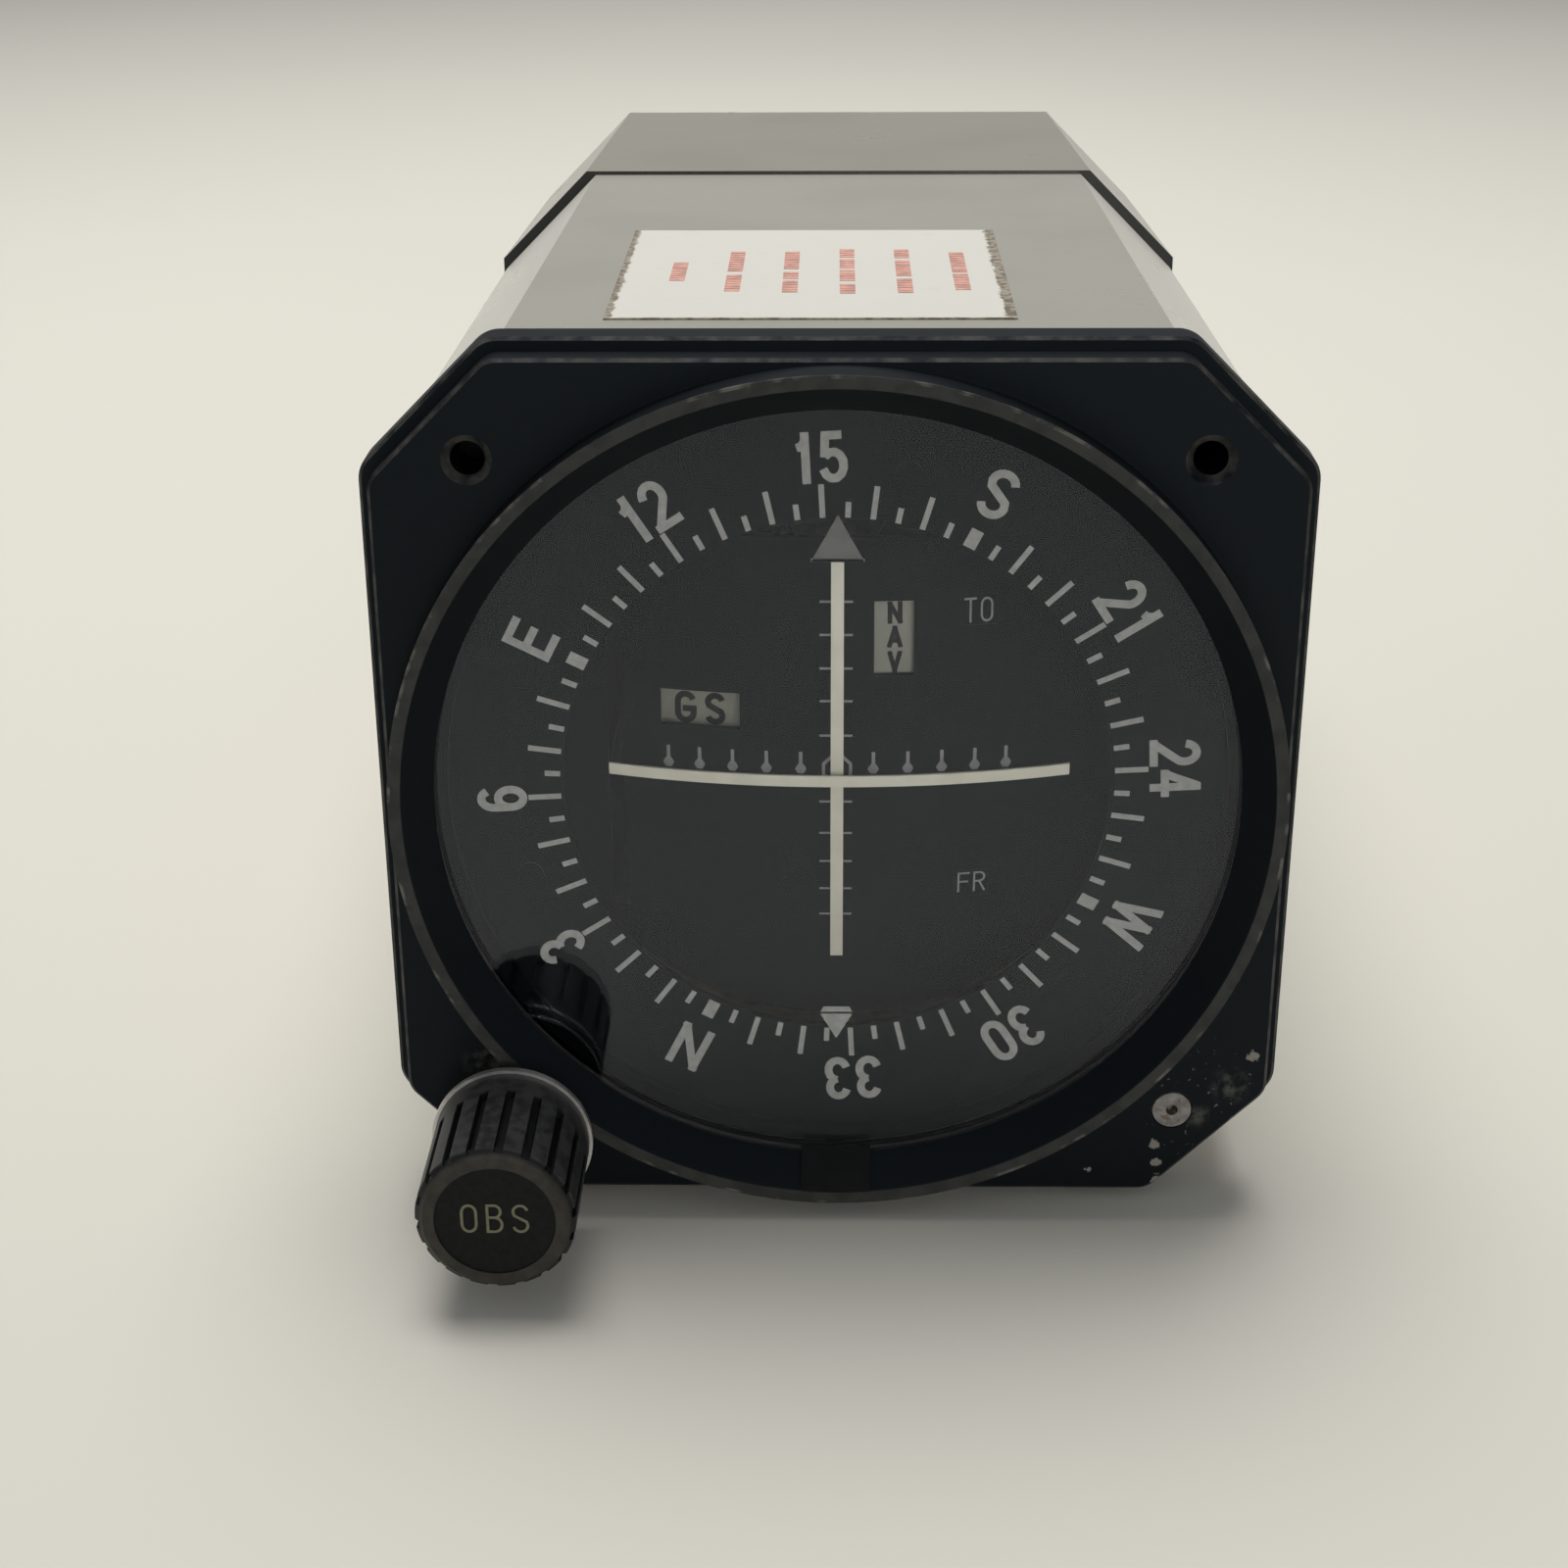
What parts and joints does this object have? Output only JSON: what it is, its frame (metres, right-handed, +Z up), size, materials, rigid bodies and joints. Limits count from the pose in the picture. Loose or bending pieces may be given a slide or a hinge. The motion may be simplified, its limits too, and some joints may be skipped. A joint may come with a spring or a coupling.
{
  "type": "course deviation indicator",
  "caption": "Panel navigation indicator with a turning compass card, crossed needles, warning flags and a course knob.",
  "frame": {"origin": "centre of the bezel's front face, where the instrument panel lies", "axes": "+Z up, +X to the right as seen from the front, the viewer at -Y and the case running back along +Y"},
  "size_m": [0.0826, 0.1714, 0.0826],
  "materials": {
    "black_paint": "satin black paint, worn at the edges",
    "tab_plate": "satin",
    "bare_steel": "worn plated steel",
    "window_glass": "polished",
    "gasket_rubber": "matte",
    "clear_acrylic": "polished clear plastic",
    "index_paint": "matte",
    "spring_steel": "ground",
    "case_paint": "matte light grey paint",
    "cover_paint": "matte warm grey paint",
    "label_film": "matte film",
    "card_black": "matte",
    "gear_aluminium": "machined",
    "bearing_brass": "machined",
    "mask_black": "matte",
    "lens_plastic": "frosted",
    "needle_paint": "matte cream",
    "arm_aluminium": "drawn",
    "coil_wire": "enamelled wire",
    "soft_iron": "machined",
    "magnet_alloy": "ground",
    "flag_paint": "matte",
    "plate_aluminium": "satin",
    "lamp_glass": "clear",
    "resolver_case": "machined",
    "board_green": "solder mask",
    "component_black": "moulded",
    "plated_shell": "plated",
    "insert_plastic": "moulded",
    "contact_brass": "gold plated",
    "knob_plastic": "moulded",
    "cap_grey": "printed film"
  },
  "bodies": {
    "housing": {"bezel": "black_paint", "bezel_tab": "tab_plate", "board_parts": "component_black", "bushing_nut": "bare_steel", "card_bearing": "bearing_brass", "card_snap_ring": "spring_steel", "case_shell": "case_paint", "circuit_boards": "board_green", "connector_contacts": "contact_brass", "connector_insert": "insert_plastic", "connector_shell": "plated_shell", "corner_screw": "bare_steel", "countershaft_bushes": "bearing_brass", "dial_mask": "mask_black", "flag_bridge": "plate_aluminium", "flag_coils": "coil_wire", "flag_post": "spring_steel", "glass": "window_glass", "glass_gasket": "gasket_rubber", "index_marks": "index_paint", "lamps": "lamp_glass", "light_wedge": "clear_acrylic", "main_plate": "plate_aluminium", "meter_magnets": "magnet_alloy", "meter_plate": "plate_aluminium", "meter_yokes": "soft_iron", "obs_bushing": "bearing_brass", "pivot_jewels": "bearing_brass", "rear_cover": "cover_paint", "rear_screws": "bare_steel", "resolver": "resolver_case", "resolver_plate": "plate_aluminium", "small_screws": "bare_steel", "standoffs": "plate_aluminium", "to_from_lenses": "lens_plastic", "top_label": "label_film", "window_retainer": "mask_black"},
    "card": {"compass_card": "card_black", "card_gear": "gear_aluminium", "card_screws": "card_black"},
    "obs_control": {"obs_knob": "knob_plastic", "obs_knob_cap": "cap_grey", "obs_knob_base": "bare_steel", "knob_set_screws": "spring_steel", "obs_shaft": "spring_steel", "obs_pinion": "bearing_brass"},
    "countershaft": {"countershaft": "spring_steel", "idler_gears": "bearing_brass"},
    "resolver_rotor": {"resolver_gear": "gear_aluminium", "resolver_shaft": "spring_steel"},
    "loc_movement": {"loc_needle": "needle_paint", "loc_arm": "arm_aluminium", "loc_coil": "coil_wire"},
    "gs_movement": {"gs_needle": "needle_paint", "gs_arm": "arm_aluminium", "gs_coil": "coil_wire"},
    "nav_warning": {"nav_flag": "flag_paint"},
    "gs_warning": {"gs_flag": "flag_paint"},
    "to_from": {"to_from_vane": "flag_paint"}
  },
  "joints": [
    {"name": "card_spin", "type": "hinge", "parent": "housing", "child": "card", "pos_m": [0, 0.0078, 0], "axis": [0, -1, 0], "continuous": true},
    {"name": "obs_spin", "type": "hinge", "parent": "housing", "child": "obs_control", "pos_m": [-0.02978, 0, -0.0316], "axis": [0, -1, 0], "continuous": true},
    {"name": "countershaft_spin", "type": "hinge", "parent": "housing", "child": "countershaft", "pos_m": [-0.02272, 0.05, -0.03021], "axis": [0, -1, 0], "continuous": true},
    {"name": "resolver_spin", "type": "hinge", "parent": "housing", "child": "resolver_rotor", "pos_m": [0, 0.0938, 0], "axis": [0, -1, 0], "continuous": true},
    {"name": "loc_swing", "type": "hinge", "parent": "housing", "child": "loc_movement", "pos_m": [0, 0.078, 0], "axis": [0, 0, 1], "range_deg": [-13.5, 13.5], "stiffness_Nm_per_rad": 0.01},
    {"name": "gs_swing", "type": "hinge", "parent": "housing", "child": "gs_movement", "pos_m": [0, 0.078, 0], "axis": [1, 0, 0], "range_deg": [-13.5, 13.5], "stiffness_Nm_per_rad": 0.01},
    {"name": "nav_flag_swing", "type": "hinge", "parent": "housing", "child": "nav_warning", "pos_m": [0, 0.012, 0], "axis": [0, -1, 0], "range_deg": [0, 35], "stiffness_Nm_per_rad": 0.002},
    {"name": "gs_flag_swing", "type": "hinge", "parent": "housing", "child": "gs_warning", "pos_m": [0, 0.012, 0], "axis": [0, -1, 0], "range_deg": [0, 35], "stiffness_Nm_per_rad": 0.002},
    {"name": "to_from_swing", "type": "hinge", "parent": "housing", "child": "to_from", "pos_m": [0, 0.012, 0], "axis": [0, -1, 0], "range_deg": [-44.5, 48.5], "stiffness_Nm_per_rad": 0.002}
  ],
  "couplings": [
    {"joint": "obs_spin", "follows": "card_spin", "ratio": 13.75},
    {"joint": "countershaft_spin", "follows": "card_spin", "ratio": -6.875},
    {"joint": "resolver_spin", "follows": "card_spin", "ratio": 1}
  ]
}
